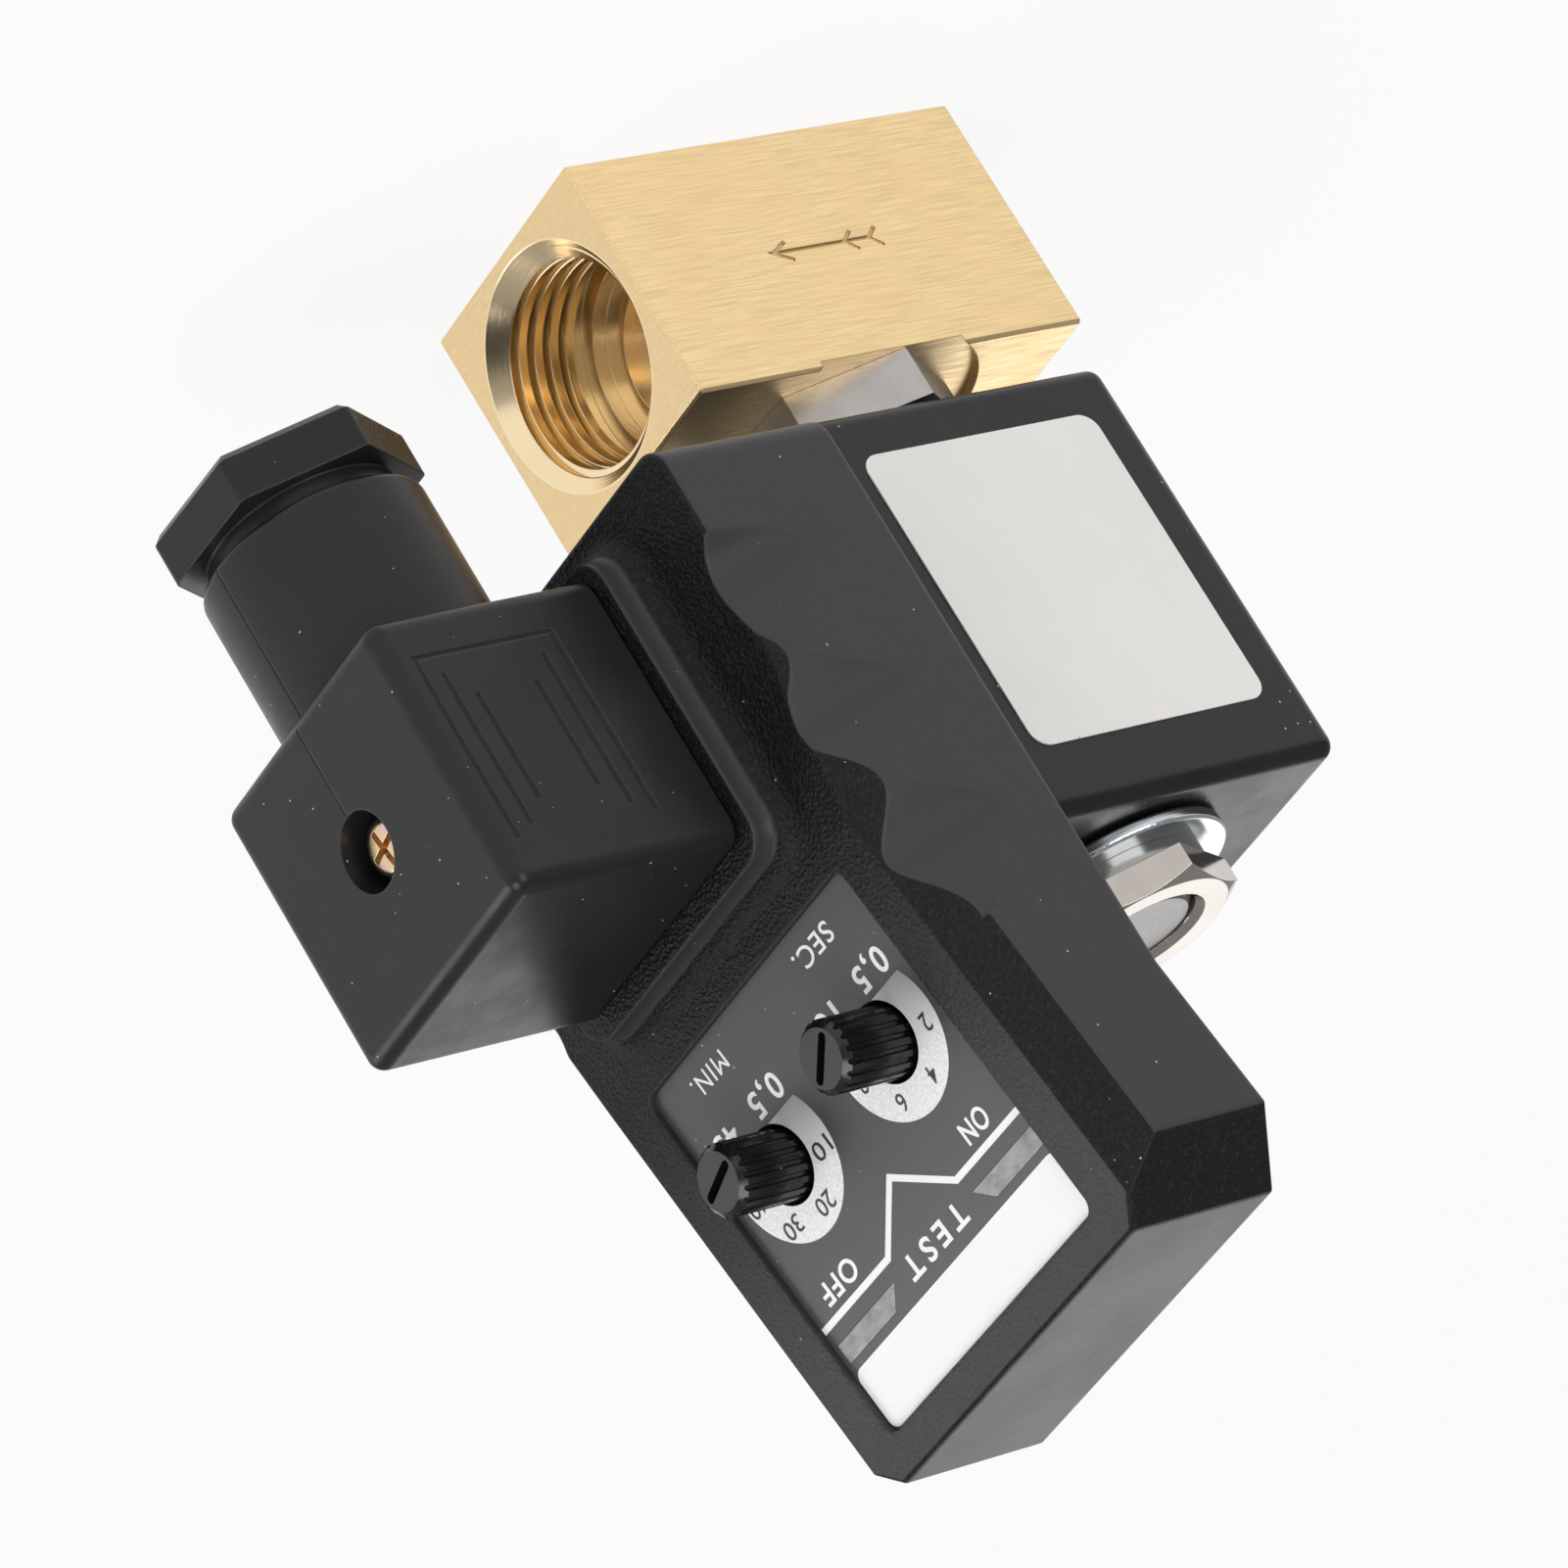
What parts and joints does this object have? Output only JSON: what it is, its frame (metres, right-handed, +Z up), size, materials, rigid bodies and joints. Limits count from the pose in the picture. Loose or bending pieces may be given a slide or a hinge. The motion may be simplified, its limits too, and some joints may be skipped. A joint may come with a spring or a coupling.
{
  "type": "automatic drain valve",
  "caption": "Solenoid drain valve with threaded brass body, square coil, timer housing with two setting knobs, and a cable plug with gland.",
  "frame": {"origin": "centre of the brass body's flat underside, on the axis of the armature", "axes": "+X along the flow towards the outlet, the timer and the plug; +Z up the armature's axis from the brass body to the nut; -Y is the side with the flow arrow and the coil's label"},
  "size_m": [0.0928, 0.05, 0.113],
  "materials": {
    "cast_brass": "satin",
    "steel_grey": "satin",
    "zinc": "polished",
    "dark_steel": "polished",
    "nickel": "polished",
    "copper": "satin",
    "contact_brass": "polished",
    "rubber_black": "matte",
    "seal_rubber": "matte",
    "coil_black": "satin gloss",
    "spool_plastic": "matte",
    "label_white": "matte",
    "timer_grey": "fine grain",
    "cover_grey": "satin",
    "film_grey": "satin",
    "window_grey": "translucent satin",
    "board_green": "solder mask",
    "chip_black": "matte",
    "capacitor_yellow": "gloss",
    "resistor_blue": "matte",
    "lamp_red": "clear gloss",
    "knob_black": "gloss",
    "plug_black": "satin",
    "block_plastic": "matte",
    "yellow_zinc": "polished"
  },
  "bodies": {
    "valve": {"valve_body": "cast_brass", "body_seal": "seal_rubber", "armature_tube": "steel_grey", "fixed_core": "nickel", "shading_ring": "copper", "coil_seal": "rubber_black", "top_washer": "zinc", "lock_washer": "dark_steel", "top_nut": "nickel"},
    "plunger": {"plunger": "steel_grey", "plunger_seal": "seal_rubber", "return_spring": "steel_grey"},
    "coil_unit": {"magnet_frame": "zinc", "coil_spool": "spool_plastic", "copper_winding": "copper", "coil_terminals": "contact_brass", "screw_insert": "contact_brass", "coil_casing": "coil_black", "coil_label": "label_white", "coil_gasket": "rubber_black", "timer_housing": "timer_grey", "timer_cover": "cover_grey", "front_film": "film_grey", "lamp_windows": "window_grey", "circuit_board": "board_green", "board_screws": "zinc", "timer_sockets": "contact_brass", "timer_blades": "contact_brass", "supply_capacitor": "capacitor_yellow", "timing_chip": "chip_black", "power_switch": "chip_black", "rotary_resistors": "resistor_blue", "test_switch": "chip_black", "indicator_lamps": "lamp_red", "plug_gasket": "rubber_black", "plug_housing": "plug_black", "terminal_block": "block_plastic", "contact_sleeves": "contact_brass", "terminal_screws": "zinc", "fixing_screw": "yellow_zinc", "gland_nut": "plug_black", "gland_washer": "zinc", "gland_seal": "rubber_black"},
    "knob_seconds": {"knob_seconds": "knob_black"},
    "knob_minutes": {"knob_minutes": "knob_black"},
    "test_button": {"test_button": "plug_black"}
  },
  "joints": [
    {"name": "coil_swivel", "type": "hinge", "parent": "valve", "child": "coil_unit", "pos_m": [0, 0, 0], "axis": [0, 0, 1], "continuous": true},
    {"name": "plunger_lift", "type": "slide", "parent": "valve", "child": "plunger", "axis": [0, 0, 1], "range_m": [0, 0.0018], "stiffness_N_per_m": 250, "springref_m": -0.004, "deforming": ["return_spring"]},
    {"name": "seconds_turn", "type": "hinge", "parent": "coil_unit", "child": "knob_seconds", "pos_m": [0.045, -0.0092, 0.0867], "axis": [1, 0, 0], "range_deg": [-260, 0]},
    {"name": "minutes_turn", "type": "hinge", "parent": "coil_unit", "child": "knob_minutes", "pos_m": [0.045, 0.0092, 0.0867], "axis": [1, 0, 0], "range_deg": [-235, 25]},
    {"name": "test_press", "type": "slide", "parent": "coil_unit", "child": "test_button", "axis": [-1, 0, 0], "range_m": [0, 0.0004], "stiffness_N_per_m": 500}
  ]
}
